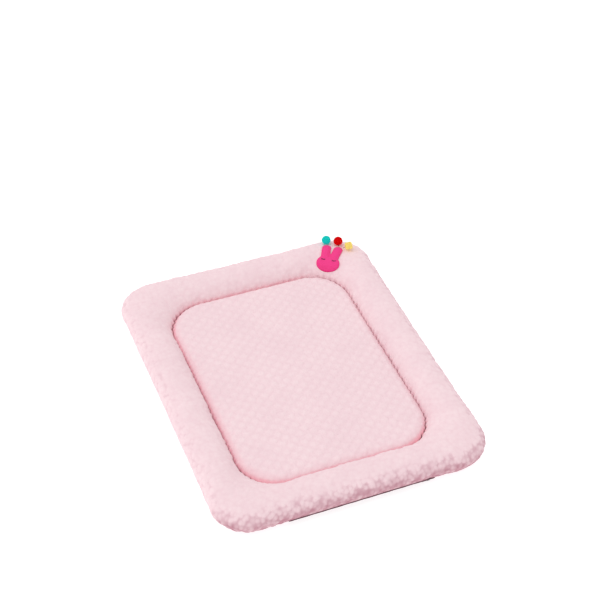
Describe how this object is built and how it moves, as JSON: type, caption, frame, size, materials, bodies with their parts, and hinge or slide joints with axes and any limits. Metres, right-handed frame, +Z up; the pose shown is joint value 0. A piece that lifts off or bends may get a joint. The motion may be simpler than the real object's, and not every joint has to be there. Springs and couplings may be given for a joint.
{
  "type": "changing pad",
  "caption": "Plush baby changing pad with a raised padded rim round an inset foam mat, a zipped cover and a felt rabbit badge with pompoms.",
  "frame": {"origin": "under the middle of the pad, on the surface it rests on", "axes": "+X across the pad to the right, +Y along it towards the head end with the badge at the right corner, +Z up"},
  "size_m": [0.56, 0.7, 0.0738],
  "materials": {
    "plush": "dimpled plush pile, matt with a soft sheen",
    "lining": "thin non-woven cloth, matt",
    "fibre": "loose polyester fibre, matt",
    "base_cloth": "plain weave with small grip dots, matt",
    "binding": "ribbed tape, matt",
    "liner_film": "film-backed knit, semi-matt",
    "foam": "open-cell foam, matt",
    "seam_thread": "twisted thread, matt",
    "zip_tape": "woven tape, matt",
    "zip_coil": "nylon coil, satin",
    "zip_metal": "die-cast, satin",
    "pink_felt": "pressed felt, matt",
    "eye_thread": "stitched thread, matt",
    "teal_wool": "cut pile pompom, matt",
    "red_wool": "cut pile pompom, matt",
    "yellow_wool": "cut pile pompom, matt",
    "dark_thread": "thread, matt"
  },
  "bodies": {
    "pad": {"rim_cover": "plush", "rim_filling_case": "lining", "rim_filling": "fibre", "base_panel": "base_cloth", "base_seam_binding": "binding", "mat_cover": "plush", "waterproof_liner": "liner_film", "mat_foam": "foam", "mat_seam_thread": "seam_thread", "zip_tape_upper": "zip_tape", "zip_tape_lower": "zip_tape", "zip_coil_upper": "zip_coil", "zip_coil_lower": "zip_coil", "zip_bottom_stop": "zip_metal", "zip_top_stop_upper": "zip_metal", "zip_top_stop_lower": "zip_metal", "rabbit_back_felt": "pink_felt", "rabbit_wadding": "fibre", "rabbit_front_felt": "pink_felt", "rabbit_left_eye": "eye_thread", "rabbit_right_eye": "eye_thread"},
    "zip_slider": {"zip_slider": "zip_metal"},
    "zip_pull": {"zip_pull": "zip_metal"},
    "teal_pompom": {"teal_pompom": "teal_wool", "teal_pompom_thread": "dark_thread"},
    "red_pompom": {"red_pompom": "red_wool", "red_pompom_thread": "dark_thread"},
    "yellow_pompom": {"yellow_pompom": "yellow_wool", "yellow_pompom_thread": "dark_thread"}
  },
  "joints": [
    {"name": "zip_slide", "type": "slide", "parent": "pad", "child": "zip_slider", "axis": [-1, 0, 0], "range_m": [0, 0.276]},
    {"name": "zip_pull_swing", "type": "hinge", "parent": "zip_slider", "child": "zip_pull", "pos_m": [0.137, -0.34394, 0.00842], "axis": [0, -0.6, 0.8], "range_deg": [0, 180]},
    {"name": "teal_pompom_lift", "type": "hinge", "parent": "pad", "child": "teal_pompom", "pos_m": [0.1968, 0.3153, 0.0613], "axis": [0.9014, -0.433, 0], "range_deg": [0, 50]},
    {"name": "red_pompom_lift", "type": "hinge", "parent": "pad", "child": "red_pompom", "pos_m": [0.22, 0.2981, 0.0612], "axis": [0.9482, -0.3177, 0], "range_deg": [0, 50]},
    {"name": "yellow_pompom_lift", "type": "hinge", "parent": "pad", "child": "yellow_pompom", "pos_m": [0.2266, 0.289, 0.0619], "axis": [0, -1, 0], "range_deg": [0, 50]}
  ]
}
